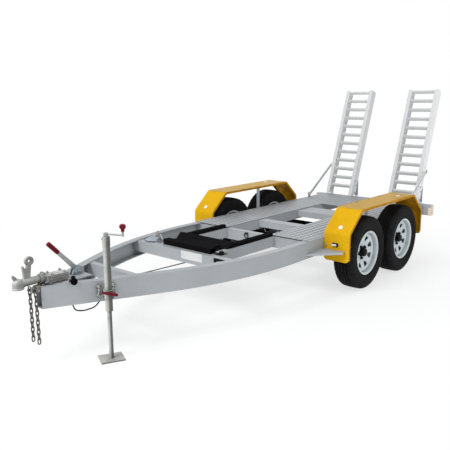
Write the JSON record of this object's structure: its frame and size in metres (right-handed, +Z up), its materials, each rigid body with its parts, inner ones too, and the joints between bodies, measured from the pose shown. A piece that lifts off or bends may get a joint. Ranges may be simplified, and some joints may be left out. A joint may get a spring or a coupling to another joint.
{
  "type": "tandem axle trailer",
  "caption": "Braked tandem-axle trailer with two chequer plate deck tracks, bent channel drawbar, folding ladder ramps, mudguards and a winding jack.",
  "frame": {"origin": "on the ground, under the middle of the outline", "axes": "+X forward to the coupling, +Y to the left, +Z up"},
  "size_m": [5.3808, 1.876, 1.882],
  "materials": {
    "carrier_black": "satin black paint",
    "chain_steel": "dull self-coloured steel",
    "chequer_plate": "rolled tread pattern, silver",
    "frame_silver": "silver-grey paint on welded steel",
    "guard_yellow": "gloss yellow paint on folded sheet",
    "hose_rubber": "black sheath",
    "hub_black": "black paint",
    "lamp_red": "red lens",
    "lamp_white": "clear lens on black base",
    "plate_white": "bare white plate",
    "ramp_silver": "bright silver paint",
    "red_grip": "dark red moulded grip",
    "rim_white": "gloss white paint on pressed steel",
    "tyre": "moulded rubber, matt",
    "zinc": "zinc plated, satin"
  },
  "bodies": {
    "chassis": {"axle_front": "carrier_black", "axle_rear": "carrier_black", "blank_plate": "plate_white", "brake_hose": "hose_rubber", "brake_lever": "zinc", "brake_rod": "zinc", "carrier_frame": "carrier_black", "chain_left": "chain_steel", "chain_right": "chain_steel", "coupling_head": "zinc", "coupling_housing": "zinc", "deck_crossmembers": "frame_silver", "drawbar_plate": "frame_silver", "front_crossmember": "frame_silver", "guard_supports_left": "frame_silver", "guard_supports_right": "frame_silver", "head_crossmember": "frame_silver", "jack_mount": "zinc", "lever_bush": "carrier_black", "lever_grip": "red_grip", "marker_lamps": "lamp_white", "mudguard_left": "guard_yellow", "mudguard_right": "guard_yellow", "rail_left": "frame_silver", "rail_right": "frame_silver", "ramp_lugs_left": "ramp_silver", "ramp_lugs_right": "ramp_silver", "rear_crossmember": "frame_silver", "rear_panel": "chequer_plate", "suspension_left": "carrier_black", "suspension_right": "carrier_black", "tail_lamps": "lamp_red", "track_beam_left": "frame_silver", "track_beam_right": "frame_silver", "track_plate_left": "chequer_plate", "track_plate_right": "chequer_plate"},
    "wheel_front_left": {"tyre_front_left": "tyre", "rim_front_left": "rim_white", "hub_front_left": "hub_black"},
    "wheel_front_right": {"tyre_front_right": "tyre", "rim_front_right": "rim_white", "hub_front_right": "hub_black"},
    "wheel_rear_left": {"tyre_rear_left": "tyre", "rim_rear_left": "rim_white", "hub_rear_left": "hub_black"},
    "wheel_rear_right": {"tyre_rear_right": "tyre", "rim_rear_right": "rim_white", "hub_rear_right": "hub_black"},
    "jack": {"jack_tube": "zinc", "jack_collar": "zinc", "jack_crank": "zinc", "jack_knob": "red_grip", "jack_pull_bar": "red_grip"},
    "jack_leg": {"jack_leg": "zinc"},
    "ramp_left": {"ramp_stringers_left": "ramp_silver", "ramp_rungs_left": "ramp_silver"},
    "stay_left": {"ramp_stay_left": "ramp_silver"},
    "ramp_right": {"ramp_stringers_right": "ramp_silver", "ramp_rungs_right": "ramp_silver"},
    "stay_right": {"ramp_stay_right": "ramp_silver"}
  },
  "joints": [
    {"name": "front_left_wheel_turn", "type": "hinge", "parent": "chassis", "child": "wheel_front_left", "pos_m": [-0.36611, 0.83, 0.3465], "axis": [0, 1, 0], "continuous": true},
    {"name": "front_right_wheel_turn", "type": "hinge", "parent": "chassis", "child": "wheel_front_right", "pos_m": [-0.36611, -0.83, 0.3465], "axis": [0, 1, 0], "continuous": true},
    {"name": "rear_left_wheel_turn", "type": "hinge", "parent": "chassis", "child": "wheel_rear_left", "pos_m": [-1.13111, 0.83, 0.3465], "axis": [0, 1, 0], "continuous": true},
    {"name": "rear_right_wheel_turn", "type": "hinge", "parent": "chassis", "child": "wheel_rear_right", "pos_m": [-1.13111, -0.83, 0.3465], "axis": [0, 1, 0], "continuous": true},
    {"name": "jack_swing", "type": "hinge", "parent": "chassis", "child": "jack", "pos_m": [2.17123, 0.30473, 0.47], "axis": [0.4384, 0.8988, 0], "range_deg": [0, 90]},
    {"name": "jack_wind", "type": "slide", "parent": "jack", "child": "jack_leg", "axis": [0, 0, 1], "range_m": [0, 0.32]},
    {"name": "ramp_left_fold", "type": "hinge", "parent": "chassis", "child": "ramp_left", "pos_m": [-2.27861, 0, 0.5], "axis": [0, -1, 0], "range_deg": [0, 93]},
    {"name": "stay_left_fold", "type": "hinge", "parent": "ramp_left", "child": "stay_left", "pos_m": [-2.30711, 0, 0.92064], "axis": [0, -1, 0], "range_deg": [0, 142.5]},
    {"name": "ramp_right_fold", "type": "hinge", "parent": "chassis", "child": "ramp_right", "pos_m": [-2.27861, 0, 0.5], "axis": [0, -1, 0], "range_deg": [0, 93]},
    {"name": "stay_right_fold", "type": "hinge", "parent": "ramp_right", "child": "stay_right", "pos_m": [-2.30711, 0, 0.92064], "axis": [0, -1, 0], "range_deg": [0, 142.5]}
  ],
  "couplings": [
    {"joint": "stay_left_fold", "follows": "ramp_left_fold", "ratio": 1.5315},
    {"joint": "stay_right_fold", "follows": "ramp_right_fold", "ratio": 1.5315}
  ]
}
